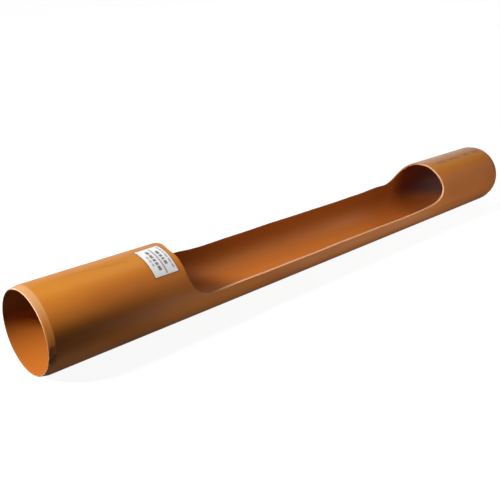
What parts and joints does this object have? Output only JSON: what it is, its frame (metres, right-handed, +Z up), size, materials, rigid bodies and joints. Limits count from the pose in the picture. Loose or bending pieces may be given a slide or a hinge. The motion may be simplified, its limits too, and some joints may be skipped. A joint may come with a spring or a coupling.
{
  "type": "drain pipe with open channel",
  "caption": "Terracotta plastic drain pipe with its crown cut away between two full round sleeves, leaving a half-round open channel, and a paper sticker on one sleeve.",
  "frame": {"origin": "on the floor under the middle of the pipe", "axes": "+X along the pipe towards the end without the sticker, +Z up through the opening"},
  "size_m": [1, 0.11, 0.1102],
  "materials": {
    "pipe_plastic": "satin",
    "sticker_paper": "matte"
  },
  "bodies": {
    "root": {"pipe": "pipe_plastic", "sticker": "sticker_paper"}
  },
  "joints": []
}
